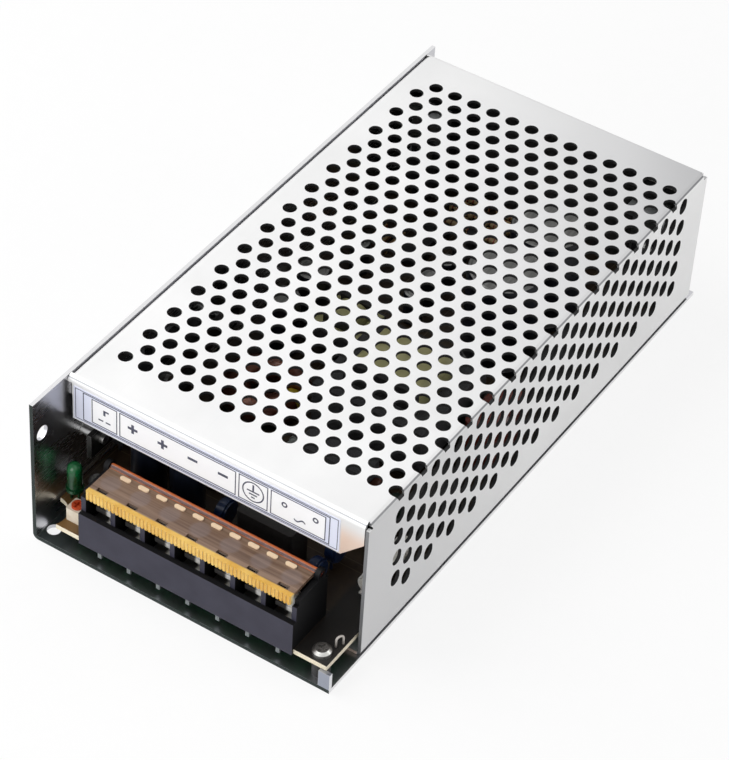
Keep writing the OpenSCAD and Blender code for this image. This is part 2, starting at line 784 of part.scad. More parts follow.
// Ring choke: ring radius, core section radius, thickness of the copper layer
ring_r = 8.8;
ring_core_r = 3.2;
copper_t = 1.3;
ring_fit = 0.1;
ring_z = board_top + ring_core_r + ring_fit + copper_t;

module output_choke_core() {
    color("gold") translate([output_choke_at[0], output_choke_at[1], ring_z]) rotate_extrude()
        translate([ring_r, 0]) circle(ring_core_r);
}

module output_choke_winding() {
    gap_angle = 24;
    color("sienna") translate([output_choke_at[0], output_choke_at[1], ring_z]) rotate(gap_angle / 2)
        rotate_extrude(angle = 360 - gap_angle) translate([ring_r, 0]) difference() {
            circle(ring_core_r + ring_fit + copper_t);
            circle(ring_core_r + ring_fit);
        }
}

// Filter choke: a square ring core that stands on edge, with a winding on each leg
filter_core = [22, 20, 8];
filter_bar = 5;
filter_z = board_top + 3.4 + filter_core[1] / 2;

module at_filter_choke() {
    translate([filter_choke_at[0], filter_choke_at[1], filter_z]) rotate([90, 0, 0]) children();
}

module filter_choke_core() {
    color("#3a3a3c") at_filter_choke() translate([0, 0, -filter_core[2] / 2]) linear_extrude(filter_core[2])
        difference() {
            square([filter_core[0], filter_core[1]], center = true);
            square([filter_core[0] - 2 * filter_bar, filter_core[1] - 2 * filter_bar], center = true);
        }
}

// Wound sleeves with flanged ends and feet, each round one upright leg of the core
module filter_choke_windings() {
    fit = 0.15;
    h = filter_core[1] - 2 * filter_bar - 0.2;
    wrap = 2.2;
    hole = [filter_bar + 2 * fit, filter_core[2] + 2 * fit];
    color("peru") at_filter_choke() for (s = [-1, 1]) translate([s * (filter_core[0] - filter_bar) / 2, 0, 0]) {
        rotate([90, 0, 0]) translate([0, 0, -h / 2]) linear_extrude(h) difference() {
            translate([-hole[0] / 2 - wrap, -hole[1] / 2 - wrap])
                rounded_rect(hole[0] + 2 * wrap, hole[1] + 2 * wrap, 2);
            square(hole, center = true);
        }
        for (t = [-1, 1]) translate([-1, -filter_z + board_top, t * (hole[1] / 2 + wrap - 1.2) - 0.6])
            cube([2, filter_z - board_top - h / 2 + eps, 1.2]);
    }
}

// ---------------------------------------------------------------- capacitors

// Round can with a rolled shoulder and a groove near its foot
module can(r, h) {
    groove = r * 0.06;
    rotate_extrude() polygon([[0, 0], [r - 0.4, 0], [r, 0.4], [r, 2], [r - groove, 2.5], [r, 3],
        [r, h - 0.9], [r - 0.3, h - 0.25], [r - 0.9, h], [r - 1.4, h - 0.3], [0, h - 0.3]]);
}

module cans(spots, r, h) {
    for (p = spots) translate([p[0], p[1], board_top]) can(r, h);
}

module bulk_capacitors() {
    color("#3c4a5a") cans(bulk_at, bulk_r, bulk_h);
}

module output_capacitors() {
    color("#3c4a5a") cans(output_at, output_r, output_h);
}

module small_capacitors() {
    color("#3c4a5a") cans(small_at, small_r, small_h);
}

module film_capacitors() {
    color("gold") {
        translate([film_at[0], film_at[1], board_top]) rounded_box(film_size, 1);
        translate([film_block_at[0], film_block_at[1], board_top]) rounded_box(film_block, 1);
    }
}

module coupling_capacitor() {
    lift = 0.6;
    wire = 0.8;
    color("brown") translate([coupling_at[0], coupling_at[1], board_top]) {
        translate([0, 0, lift]) rounded_box(coupling_size, 2);
        for (s = [-1, 1]) translate([-wire / 2, s * coupling_size[1] * 0.375 - wire / 2, 0])
            cube([wire, wire, lift + eps]);
    }
}

// Coated disc on edge on two wires, its flat faces along X
module disc_part(r, t) {
    translate([-t / 2, 0, r + 2]) rotate([0, 90, 0]) {
        cylinder(h = t, r = r - 0.5);
        translate([0, 0, t * 0.2]) cylinder(h = t * 0.6, r = r);
    }
    for (s = [-1, 1]) translate([-0.3, s * r * 0.55 - 0.3, 0]) cube([0.6, 0.6, r + 1]);
}

module safety_capacitors() {
    color("steelblue") for (p = safety_at) translate([p[0], p[1], board_top])
        disc_part(safety_r, safety_t);
}

module thermistor() {
    color("#2f3b2f") translate([thermistor_at[0], thermistor_at[1], board_top])
        disc_part(thermistor_r, thermistor_t);
}

// ---------------------------------------------------------------- mains parts

fuse_r = 2.6;
fuse_l = 20;
fuse_z = board_top + 4.6;

module fuse_tube() {
    cap_l = 5;
    color("white") translate([fuse_at[0], fuse_at[1] - fuse_l / 2, fuse_z]) rotate([-90, 0, 0]) {
        cylinder(h = fuse_l, r = fuse_r - 0.2);
        for (y = [0, fuse_l - cap_l]) translate([0, 0, y]) cylinder(h = cap_l, r = fuse_r);
    }
}

module fuse_clips() {
    clip_w = 4;
    t = 0.5;
    color("silver") for (s = [-1, 1]) translate([fuse_at[0], fuse_at[1] + s * (fuse_l / 2 - 2.5), 0])
        along_y(-clip_w / 2, clip_w / 2) {
            translate([0, fuse_z]) difference() {
                circle(fuse_r + 0.05 + t);
                circle(fuse_r + 0.05);
                translate([-5, 1.2]) square([10, 5]);
            }
            translate([-fuse_r, board_top]) square([2 * fuse_r, t]);
            translate([-0.6, board_top]) square([1.2, fuse_z - fuse_r - 0.05 - board_top]);
        }
}

module bridge_rectifier() {
    color("#1c1c1c") translate([bridge_at[0], bridge_at[1], board_top]) {
        translate([0, 0, 2.5]) rounded_box(bridge_size, 0.6);
        for (k = [-1.5:1:1.5]) translate([-0.4, k * bridge_pin_step - 0.6, 0]) cube([0.8, 1.2, 2.5 + eps]);
    }
}

// ---------------------------------------------------------------- power transistors

// Tab package: body, metal tab and three legs; its back face is on X = 0, body towards +X
module tab_package(w, body_h, tab_h, t, foot) {
    translate([0, -w / 2, foot]) cube([t, w, body_h]);
    difference() {
        translate([0, -w / 2, foot]) cube([tab_t, w, body_h + tab_h]);
        translate([-cut, 0, foot + body_h + tab_h / 2]) rotate([0, 90, 0])
            cylinder(h = t + 2 * cut, r = m3_r + screw_fit);
    }
    for (k = [-1, 0, 1]) translate([t / 2 - 0.3, k * w / 4 - 0.5, 0]) cube([0.6, 1, foot + eps]);
}

sink_hole_z = board_top + switch_legs + switch_h + switch_tab / 2;

module heat_sinks() {
    color("whitesmoke") for (p = sink_at) translate([p[0] - sink_w / 2, p[1], board_top]) difference() {
        union() {
            cube([sink_w, sink_t, sink_h]);
            translate([0, -sink_lip, sink_h - sink_t]) cube([sink_w, sink_lip + eps, sink_t]);
        }
        translate([sink_w / 2, -cut, sink_hole_z - board_top]) rotate([-90, 0, 0])
            cylinder(h = sink_t + 2 * cut, r = m3_r + thread_fit);
    }
}

module switching_transistors() {
    color("#1c1c1c") for (p = sink_at) translate([p[0], p[1], board_top]) rotate(-90)
        tab_package(switch_w, switch_h, switch_tab, switch_t, switch_legs);
}

module transistor_screws() {
    color("silver") for (p = sink_at) translate([p[0], p[1] - tab_t, sink_hole_z]) rotate([90, 0, 0])
        pan_screw(pan_r, pan_h, m3_r, tab_t + sink_t + 1.5);
}

module output_rectifiers() {
    color("#1c1c1c") for (y = rectifier_y) translate([package_x, y, board_top]) {
        translate([0, -package_w / 2, package_legs]) cube([package_t, package_w, package_h]);
        for (k = [-1, 0, 1]) translate([2, k * package_w * 0.35 - 0.6, 0]) cube([0.7, 1.2, package_legs + eps]);
    }
}

module insulating_pads() {
    rim = 1.1;
    color("lightsteelblue") for (y = rectifier_y)
        translate([pad_x, y - package_w / 2 - rim, board_top + package_legs - rim])
            cube([pad_t, package_w + 2 * rim, package_h + 2 * rim]);
}

module clamp_bar() {
    color("silver") difference() {
        translate([bar_x, bar_y[0] - bar_end, bar_z - bar_h / 2])
            cube([bar_t, bar_y[2] - bar_y[0] + 2 * bar_end, bar_h]);
        for (y = bar_y) translate([bar_x - cut, y, bar_z]) rotate([0, 90, 0])
            cylinder(h = bar_t + 2 * cut, r = m3_r + thread_fit);
    }
}

module clamp_bar_screws() {
    color("silver") for (y = bar_y) translate([x_left, y, bar_z]) rotate([0, -90, 0])
        flat_screw(bar_x + bar_t + 1.2 - x_left);
}

// ---------------------------------------------------------------- small parts

module control_chip() {
    color("#1c1c1c") translate([chip_at[0], chip_at[1], board_top]) {
        translate([0, 0, 0.6]) rounded_box(chip_size, 0.4);
        for (s = [-1, 1], k = [-3.5:1:3.5])
            translate([s * (chip_size[0] / 2 + 0.3) - 0.4, k * chip_pin_step - 0.25, 0]) cube([0.8, 0.5, 2.2]);
    }
}

// Barrel with two wires bent down to the board; its axis is along X
module axial_part(l, r, lift) {
    wire = 0.6;
    translate([0, 0, lift]) rotate([0, 90, 0]) translate([0, 0, -l / 2]) {
        cylinder(h = l, r = r * 0.88);
        cylinder(h = l * 0.22, r = r);
        translate([0, 0, l * 0.78]) cylinder(h = l * 0.22, r = r);
    }
    for (s = [-1, 1]) {
        translate([s * (l / 2 + 1) - 1 - eps, -wire / 2, lift - wire / 2]) cube([2 + 2 * eps, wire, wire]);
        translate([s * (l / 2 + 2) - wire / 2, -wire / 2, 0]) cube([wire, wire, lift + wire / 2]);
    }
}

module signal_resistors() {
    half = (resistor_rows - 1) / 2;
    color("tan") {
        for (p = resistor_rows_at, k = [-half:half])
            translate([p[0], p[1] + k * resistor_step, board_top])
                axial_part(resistor_l, resistor_r, resistor_lift);
        for (k = [-1:1]) translate([resistor_trio_at[0] + k * resistor_step, resistor_trio_at[1], board_top])
            rotate(90) axial_part(resistor_l, resistor_r, resistor_lift);
    }
}

module power_resistors() {
    color("lightblue") {
        for (s = [-1, 1]) translate([power_pair_at[0], power_pair_at[1] + s * power_step / 2, board_top])
            axial_part(power_l, power_r, power_lift);
        translate([power_single_at[0], power_single_at[1], board_top]) rotate(90)
            axial_part(power_l, power_r, power_lift);
    }
}

module signal_transistors() {
    legs = 4;
    color("#1c1c1c") for (p = to92_at) translate([p[0], p[1], board_top]) {
        translate([0, 0, legs]) linear_extrude(to92_h) difference() {
            circle(to92_r);
            translate([-to92_r - 1, to92_r * 0.55]) square([2 * to92_r + 2, to92_r]);
        }
        for (k = [-1, 0, 1]) translate([k * 1.27 - 0.2, -0.2, 0]) cube([0.4, 0.4, legs + eps]);
    }
}

// ---------------------------------------------------------------- nodes

chassis();
mesh_cover();
terminal_label();
cover_side_screws();
cover_base_screws();
insulating_sheet();
board_standoffs();
circuit_board();
board_screws();
terminal_housing();
terminal_contacts();
terminal_cover();
terminal_screw(1);  // terminal_screw_1
terminal_screw(2);  // terminal_screw_2
terminal_screw(3);  // terminal_screw_3
terminal_screw(4);  // terminal_screw_4
terminal_screw(5);  // terminal_screw_5
terminal_screw(6);  // terminal_screw_6
terminal_screw(7);  // terminal_screw_7
clamp_plate(1);  // clamp_plate_1
clamp_plate(2);  // clamp_plate_2
clamp_plate(3);  // clamp_plate_3
clamp_plate(4);  // clamp_plate_4
clamp_plate(5);  // clamp_plate_5
clamp_plate(6);  // clamp_plate_6
clamp_plate(7);  // clamp_plate_7
power_lamp();
trimmer_body();
trimmer_rotor();
transformer_core();
transformer_bobbin();
transformer_winding();
driver_core();
driver_bobbin();
driver_winding();
output_choke_core();
output_choke_winding();
filter_choke_core();
filter_choke_windings();
bulk_capacitors();
output_capacitors();
small_capacitors();
film_capacitors();
coupling_capacitor();
safety_capacitors();
fuse_tube();
fuse_clips();
thermistor();
bridge_rectifier();
heat_sinks();
switching_transistors();
transistor_screws();
output_rectifiers();
insulating_pads();
clamp_bar();
clamp_bar_screws();
control_chip();
signal_resistors();
power_resistors();
signal_transistors();
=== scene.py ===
import math

import bmesh
import bpy
from mathutils import Matrix, Vector


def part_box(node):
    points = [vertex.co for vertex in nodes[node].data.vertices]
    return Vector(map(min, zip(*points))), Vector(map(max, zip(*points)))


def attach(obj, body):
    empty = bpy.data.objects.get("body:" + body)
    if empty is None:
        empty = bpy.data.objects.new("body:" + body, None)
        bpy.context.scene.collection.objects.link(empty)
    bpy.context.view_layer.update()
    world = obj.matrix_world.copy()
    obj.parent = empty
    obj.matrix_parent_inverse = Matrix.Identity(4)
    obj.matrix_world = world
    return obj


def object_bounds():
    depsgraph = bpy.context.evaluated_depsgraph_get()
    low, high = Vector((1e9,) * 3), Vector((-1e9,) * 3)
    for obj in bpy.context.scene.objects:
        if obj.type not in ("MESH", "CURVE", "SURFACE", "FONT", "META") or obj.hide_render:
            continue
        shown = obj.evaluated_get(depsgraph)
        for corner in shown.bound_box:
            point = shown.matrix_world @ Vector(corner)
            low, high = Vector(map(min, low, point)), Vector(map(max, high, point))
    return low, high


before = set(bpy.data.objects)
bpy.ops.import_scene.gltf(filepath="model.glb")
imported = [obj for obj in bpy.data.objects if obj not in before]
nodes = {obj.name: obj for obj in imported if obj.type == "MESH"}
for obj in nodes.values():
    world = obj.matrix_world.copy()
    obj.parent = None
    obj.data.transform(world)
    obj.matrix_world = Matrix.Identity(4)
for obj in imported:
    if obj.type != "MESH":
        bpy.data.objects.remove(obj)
cad_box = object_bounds()

MM = 0.001
WHITE = (1, 1, 1, 1)

# ---------------------------------------------------------------- measures, in millimetres

# the case's outer planes
LEFT, FRONT = (round(level / MM, 3) for level in cad_box[0][:2])
RIGHT, REAR, TOP = (round(level / MM, 3) for level in cad_box[1])

# the front of the cover's lip, which the label lies on
label_low, label_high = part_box("terminal_label")
LIP = round(label_high.y / MM, 3)

# the seven ways of the terminal strip
way_x = [sum(corner.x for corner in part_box(f"terminal_screw_{i}")) / 2 / MM for i in range(1, 8)]
way_pitch = (way_x[6] - way_x[0]) / 6
screw_y = sum(corner.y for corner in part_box("terminal_screw_1")) / 2 / MM


def paint(red, green, blue):
    """A colour as it shows on a screen, 0 to 255 a channel, turned into Blender's linear colour."""
    linear = []
    for level in (red, green, blue):
        share = level / 255
        linear.append(share / 12.92 if share <= 0.04045 else ((share + 0.055) / 1.055) ** 2.4)
    return (linear[0], linear[1], linear[2], 1.0)


# ---------------------------------------------------------------- shader kit


class Number:
    """A socket that carries one number. Arithmetic on it adds Math nodes to its tree."""

    def __init__(self, kit, socket):
        self.kit = kit
        self.socket = socket

    def math(self, operation, *terms):
        node = self.kit.add("ShaderNodeMath", {"operation": operation}, dict(enumerate(terms)))
        return Number(self.kit, node.outputs[0])

    def __add__(self, other):
        return self.math("ADD", self, other)

    def __radd__(self, other):
        return self.math("ADD", other, self)

    def __sub__(self, other):
        return self.math("SUBTRACT", self, other)

    def __rsub__(self, other):
        return self.math("SUBTRACT", other, self)

    def __mul__(self, other):
        return self.math("MULTIPLY", self, other)

    def __rmul__(self, other):
        return self.math("MULTIPLY", other, self)

    def __mod__(self, other):
        return self.math("FLOORED_MODULO", self, other)

    def __neg__(self):
        return self.math("SUBTRACT", 0.0, self)

    def __abs__(self):
        return self.math("ABSOLUTE", self)

    def __gt__(self, other):
        return self.math("GREATER_THAN", self, other)

    def __lt__(self, other):
        return self.math("LESS_THAN", self, other)

    def root(self):
        return self.math("POWER", self, 0.5)

    def most(self, other):
        return self.math("MAXIMUM", self, other)

    def rise(self, low, high):
        """0 below low, 1 above high, and a smooth rise between them."""
        settings = {"interpolation_type": "SMOOTHSTEP"}
        inputs = {"Value": self, "From Min": low, "From Max": high}
        return Number(self.kit, self.kit.add("ShaderNodeMapRange", settings, inputs).outputs[0])

    def between(self, low, high, blur):
        """1 from low to high, and 0 outside, with soft ends."""
        return self.rise(low - blur, low + blur) * (1 - self.rise(high - blur, high + blur))


def set_stops(elements, stops):
    """Gives a colour ramp its stops."""
    while len(elements) < len(stops):
        elements.new(1.0)
    for element, (position, colour) in zip(elements, stops):
        element.position = position
        element.color = colour


class Nodes:
    """A node tree in the making."""

    def __init__(self, tree):
        self.tree = tree
        self.tree.nodes.clear()

    def add(self, kind, settings=None, inputs=None):
        """A node of a kind: its settings first, then the value or the link of each socket."""
        node = self.tree.nodes.new(kind)
        for name, value in (settings or {}).items():
            if name == "stops":
                set_stops(node.color_ramp.elements, value)
            else:
                setattr(node, name, value)
        for key, value in (inputs or {}).items():
            socket = node.inputs[key]
            if isinstance(value, Number):
                self.tree.links.new(value.socket, socket)
            elif isinstance(value, bpy.types.NodeSocket):
                self.tree.links.new(value, socket)
            else:
                socket.default_value = value
        return node

    def seen(self):
        """1 for rays that the camera, gloss or glass sees, else 0."""
        path = self.add("ShaderNodeLightPath")
        camera_ray = Number(self, path.outputs["Is Camera Ray"])
        glossy_ray = Number(self, path.outputs["Is Glossy Ray"])
        glass_ray = Number(self, path.outputs["Is Transmission Ray"])
        return camera_ray.most(glossy_ray).most(glass_ray)


class Finish(Nodes):
    """A material in the making, in millimetres on the part's own axes."""

    def __init__(self, name):
        self.material = bpy.data.materials.new(name)
        self.material.use_nodes = True
        super().__init__(self.material.node_tree)
        self.spot = self.add("ShaderNodeTexCoord")

    def axes(self, output="Object", scale=1 / MM):
        """Three numbers: the place on the part, in millimetres."""
        split = self.add("ShaderNodeSeparateXYZ", None, {0: self.spot.outputs[output]})
        return [Number(self, split.outputs[i]) * scale for i in range(3)]

    def facing(self):
        """Three numbers: the way the surface faces."""
        return self.axes("Normal", 1.0)

    def mapped(self, stretch, turn=0.0):
        """The place on the part, scaled along its axes and turned about the upright one."""
        place = self.spot.outputs["Object"]
        if stretch == (1, 1, 1) and turn == 0.0:
            return place
        inputs = {"Vector": place, "Rotation": (0.0, 0.0, turn), "Scale": stretch}
        return self.add("ShaderNodeMapping", None, inputs).outputs[0]

    def noise(self, size, detail=3.0, stretch=(1, 1, 1), rough=0.5, turn=0.0):
        """Soft blotches about size millimetres across, drawn out where stretch is below 1."""
        inputs = {"Vector": self.mapped(stretch, turn), "Scale": 1 / MM / size}
        inputs["Detail"] = detail
        inputs["Roughness"] = rough
        return Number(self, self.add("ShaderNodeTexNoise", None, inputs).outputs[0])

    def cells(self, size, stretch=(1, 1, 1)):
        """The outputs of a pattern of cells, size millimetres across."""
        inputs = {"Vector": self.mapped(stretch), "Scale": 1 / MM / size}
        return self.add("ShaderNodeTexVoronoi", {"feature": "F1"}, inputs).outputs

    def scratches(self, length, width, turn):
        """Fine straight lines that run one way, mostly bare."""
        fine = self.noise(1.0, 2.0, (1 / width, 1 / length, 1 / length), 0.6, turn)
        return fine.rise(0.66, 0.74)

    def edges(self, radius):
        """1 on sharp edges and 0 on flat faces."""
        bent = self.add("ShaderNodeBevel", {"samples": 4}, {"Radius": radius * MM})
        flat = self.add("ShaderNodeNewGeometry")
        inputs = {0: bent.outputs[0], 1: flat.outputs["Normal"]}
        dot = self.add("ShaderNodeVectorMath", {"operation": "DOT_PRODUCT"}, inputs)
        return (1 - Number(self, dot.outputs["Value"])).rise(0.02, 0.22)

    def blend(self, share, first, second):
        """A colour between two colours."""
        settings = {"data_type": "RGBA", "blend_type": "MIX", "clamp_factor": True}
        return self.add("ShaderNodeMix", settings, {0: share, 6: first, 7: second}).outputs[2]

    def wash(self, tone, share, red, green, blue):
        """A tone with one flat colour laid over it by share."""
        return self.blend(share, tone, paint(red, green, blue))

    def ramp(self, level, *stops):
        """A colour that runs through stops, each a level, red, green and blue."""
        painted = [(stop[0], paint(*stop[1:])) for stop in stops]
        return self.add("ShaderNodeValToRGB", {"stops": painted}, {0: level}).outputs[0]

    def tones(self, level, dark, pale):
        """Two close colours, mottled by a noise."""
        return self.ramp(level, (0.3, *dark), (0.7, *pale))

    def bump(self, height, depth):
        """A surface raised by height times depth millimetres."""
        inputs = {"Height": height, "Distance": depth * MM, "Strength": 1.0}
        return self.add("ShaderNodeBump", None, inputs).outputs[0]

    def coat(self, base, roughness, metallic, normal, **fixed):
        """The finished surface. What fixed names is the same all over."""
        inputs = {"Base Color": base, "Roughness": roughness, "Metallic": metallic, "Normal": normal}
        for name, value in fixed.items():
            inputs[name.replace("_", " ").title().replace("Ior", "IOR")] = value
        surface = self.add("ShaderNodeBsdfPrincipled", None, inputs)
        self.add("ShaderNodeOutputMaterial", None, {"Surface": surface.outputs[0]})
        return self.material


def mottled(name, size, dark, pale, rough, vary, depth, grain=None, **fixed):
    """A plain surface in two close colours, whose roughness goes up by vary with the same noise.

    It is raised by that noise, or by a finer one, grain millimetres across.
    """
    f = Finish(name)
    cloud = f.noise(size, 3.0)
    raised = f.noise(grain, 2.0) if grain else cloud
    tone = f.tones(cloud, dark, pale)
    return f.coat(tone, rough + cloud * vary, 0.0, f.bump(raised, depth), **fixed)


def off_middle(x):
    """How far right of the middle of its own way a place in the terminal strip is."""
    first_edge = way_x[0] - way_pitch / 2
    return (x - first_edge) % way_pitch - way_pitch / 2


# ---------------------------------------------------------------- metals


def chassis_metal():
    """Bright plated sheet, with painted shade where it walls the bay, dark where its front edge is sawn,
    and painted highlights on its rims.
    """
    f = Finish("chassis_metal")
    x, y, z = f.axes()
    nx, ny, nz = f.facing()
    smudge = f.noise(16.0, 4.0)
    grain = f.noise(1.0, 2.0, (1, 0.06, 1))
    line = f.scratches(30.0, 0.10, 0.5)
    worn = f.edges(0.35)
    tone = f.tones(smudge, (192, 192, 196), (202, 202, 206))
    tone = f.wash(tone, line * 0.25, 222, 222, 226)
    # painted shade on the left wall's inner face, below a slanted band of painted reflected light
    by_cover = (y > LIP - 0.1) * (z > TOP - 4.0)
    shade = (x < LEFT + 0.9) * (nx > 0.5) * (1 - by_cover)
    slant = z + (y - FRONT) * 0.62
    painted_reflection_band = shade * slant.rise(TOP - 4.6, TOP - 2.6) * (y < LIP + 0.5)
    tone = f.wash(tone, shade * 0.94, 26, 23, 20)
    tone = f.wash(tone, painted_reflection_band, 118, 118, 142)
    # painted shade on the base in the bay, tinted green as a painted reflection of the board, deeper
    # under the board's notch
    by_notch = 1 - x.rise(-40.0, -34.0)
    bay_floor_shade = nz.rise(0.6, 0.9) * (z < 2.0) * (y < LIP + 2.5) * (0.22 + by_notch * 0.6)
    tone = f.wash(tone, bay_floor_shade, 26, 52, 50)
    # the corner tab with painted bluish shade on its front, the sawn front edge, and painted highlights
    # along the rims
    tab = (x > RIGHT - 4.0) * (z > 1.3)
    sawn = (y < FRONT + 0.06) * (-ny).rise(0.8, 0.95) * (1 - tab)
    tone = f.wash(tone, sawn, 34, 44, 42)
    tone = f.wash(tone, tab * (y < FRONT + 2.5) * 0.7, 132, 140, 158)
    rim = (z > TOP - 0.1).most(x > RIGHT - 0.05) * (1 - sawn)
    tone = f.wash(tone, rim * 0.7, 236, 236, 236)
    tone = f.wash(tone, worn * (1 - sawn) * 0.5, 232, 232, 232)
    rough = 0.22 + smudge * 0.06 + grain * 0.05 + worn * 0.12
    rough = rough + sawn * 0.4 + shade * 0.35 + bay_floor_shade * 0.2
    metal = 1 - sawn.most(shade) * 0.75
    return f.coat(tone, rough, metal, f.bump(grain + line, 0.003))


def cover_metal():
    """Satin sheet of the perforated cover, with painted shade along its bends and on the walls of its
    punched holes.
    """
    f = Finish("cover_metal")
    x, y, z = f.axes()
    nx, ny, nz = f.facing()
    smudge = f.noise(28.0, 3.0)
    grain = f.noise(0.5, 3.0, (1, 0.04, 1))
    speck = f.noise(0.35, 2.0)
    line = f.scratches(45.0, 0.12, 1.2)
    worn = f.edges(0.3)
    tone = f.tones(smudge, (231, 231, 231), (239, 239, 239))
    tone = f.wash(tone, line * 0.2, 205, 206, 208)
    # painted shade: the right wall darker toward the front, and the top darker toward its rear right
    # corner
    painted_flank_shade = nx.rise(0.6, 0.9) * (1 - y.rise(-95.0, 20.0))
    tone = f.wash(tone, painted_flank_shade * 0.95, 206, 206, 207)
    upward = nz.rise(0.6, 0.9)
    to_corner = x + y * 0.55
    tone = f.wash(tone, upward * to_corner.rise(-5.0, 95.0) * 0.9, 204, 204, 205)
    tone = f.wash(tone, upward * to_corner.rise(70.0, 104.0) * 0.6, 172, 172, 174)
    # painted shade lines along the bend at the right edge and the bend over the lip
    side = RIGHT - x
    drop = TOP - z
    ahead = y - LIP
    painted_fold_shade = (1 - abs(side - drop).rise(0.2, 0.65)) * ((side + drop) < 2.4)
    painted_crease_shade = (1 - abs(ahead - drop).rise(0.15, 0.5)) * ((ahead + drop) < 2.4)
    tone = f.wash(tone, worn * 0.2, 250, 250, 250)
    tone = f.wash(tone, painted_fold_shade * 0.85, 78, 80, 84)
    tone = f.wash(tone, painted_crease_shade * 0.75, 140, 142, 148)
    # a painted warm reflection of the amber cover below on the bare right end of the lip, and the lip's
    # cut end
    lip_end_amber_reflection = (y < LIP + 0.1) * x.rise(39.8, 41.0) * (x < RIGHT - 1.2) * drop.rise(2.0, 9.0)
    tone = f.wash(tone, lip_end_amber_reflection * 0.8, 236, 204, 182)
    cut = (y < LIP + 0.05) * (x > RIGHT - 1.1)
    tone = f.wash(tone, cut * 0.85, 90, 92, 96)
    # painted shade on the sheet's inner side and rear wall, and a painted patch of light high on the rear
    # wall
    inner = (nz < -0.5).most((nx < -0.5) * (x > RIGHT - 2.0))
    tone = f.wash(tone, inner * 0.9, 34, 34, 35)
    rear_wall = (y > REAR - 5.5) * (y < REAR - 3.9) * (-ny).rise(0.6, 0.9)
    painted_light_patch = rear_wall * x.between(28.5, 41.5, 0.1) * (z > 39.0)
    tone = f.wash(tone, rear_wall * 0.9, 34, 34, 35)
    tone = f.wash(tone, painted_light_patch, 250, 248, 244)
    # painted shade on the walls of the holes in the top and in the right wall
    punched_top = (z > TOP - 1.1) * (1 - abs(nz).rise(0.35, 0.5)) * x.between(-47.0, 47.9, 0.02)
    punched_side = (x > RIGHT - 1.1) * (1 - abs(nx).rise(0.35, 0.5)) * z.between(8.0, 48.6, 0.02)
    painted_hole_shade = punched_top.most(punched_side) * y.between(-83.2, 94.6, 0.05)
    tone = f.wash(tone, painted_hole_shade, 18, 18, 19)
    rough = 0.30 + smudge * 0.12 + speck * 0.08 + painted_hole_shade * 0.3
    height = grain * 0.6 + speck * 0.4
    return f.coat(tone, rough, 0.38 * (1 - painted_hole_shade), f.bump(height, 0.005))


def zinc_screws():
    """Zinc plated steel with a faint mottled bloom. The board screw in the bay has painted shade on all
    but its right front side.
    """
    f = Finish("zinc_screws")
    x, y = f.axes()[:2]
    nx, ny = f.facing()[:2]
    bloom = f.noise(1.6, 4.0)
    fine = f.noise(0.25, 2.0)
    worn = f.edges(0.12)
    tone = f.tones(bloom, (186, 186, 182), (216, 216, 214))
    tone = f.wash(tone, worn * 0.5, 240, 240, 238)
    # painted shade on the board screw in the bay, on all but its right front side
    painted_screw_shade = (y < -90.0) * (x > 40.0) * (1 - (nx - ny).rise(0.2, 0.9))
    tone = f.wash(tone, painted_screw_shade * 0.8, 64, 54, 50)
    return f.coat(tone, 0.24 + bloom * 0.16 + painted_screw_shade * 0.2, 1.0, f.bump(fine, 0.01))


def terminal_steel():
    """Nickel plated screws, scuffed by drivers, with painted shade down their left sides."""
    f = Finish("terminal_steel")
    x = f.axes()[0]
    nz = f.facing()[2]
    bloom = f.noise(2.2, 4.0)
    arc = f.noise(0.5, 2.0, (1, 0.3, 1))
    worn = f.edges(0.15)
    tone = f.tones(bloom, (226, 225, 222), (250, 249, 246))
    tone = f.wash(tone, worn * 0.5, 246, 246, 244)
    # painted shade down the left side of each way, off the tops
    painted_left_shade = (1 - off_middle(x).rise(0.2, 1.2)) * (1 - nz.rise(0.4, 0.7))
    tone = f.wash(tone, painted_left_shade * 0.95, 24, 22, 22)
    return f.coat(tone, 0.34 + bloom * 0.14, 0.15, f.bump(arc, 0.012))


def tinned_metal():
    """Tin dipped brass: soft ripples, painted shade on the solder legs, and painted shade on the left of
    each way.
    """
    f = Finish("tinned_metal")
    x, y, z = f.axes()
    ripple = f.noise(1.4, 3.0)
    dull = f.noise(4.0, 3.0)
    tone = f.tones(dull, (232, 230, 225), (252, 251, 247))
    # painted shade on the solder legs below the board
    tone = f.wash(tone, (z < 7.0) * 0.85, 78, 90, 94)
    # painted shade on the left of each way in the strip
    in_strip = z.between(14.0, 19.2, 0.05) * (y < LIP + 0.5)
    painted_left_shade = in_strip * (1 - off_middle(x).rise(0.2, 1.2))
    tone = f.wash(tone, painted_left_shade * 0.95, 24, 22, 22)
    wire_link = x > 44.0
    tone = f.wash(tone, wire_link * 0.6, 150, 136, 124)
    return f.coat(tone, 0.34 + dull * 0.2, 0.3 - in_strip * 0.28, f.bump(ripple, 0.03))


def sink_metal():
    """Aluminium of the heat sinks with drawn lines up its faces, and painted shade by the left wall."""
    f = Finish("sink_metal")
    x, y = f.axes()[:2]
    drawn = f.noise(0.6, 3.0, (1, 1, 0.04))
    patch = f.noise(9.0, 3.0)
    worn = f.edges(0.2)
    tone = f.tones(patch, (176, 178, 180), (206, 208, 209))
    # painted shade on the parts by the left wall
    by_wall = (x < -40.0) * (y < 0.0)
    tone = f.wash(tone, by_wall * 0.9, 52, 50, 46)
    tone = f.wash(tone, worn * 0.5, 236, 236, 236)
    return f.coat(tone, 0.30 + drawn * 0.18, 1.0, f.bump(drawn, 0.02))


# ---------------------------------------------------------------- plastics and film


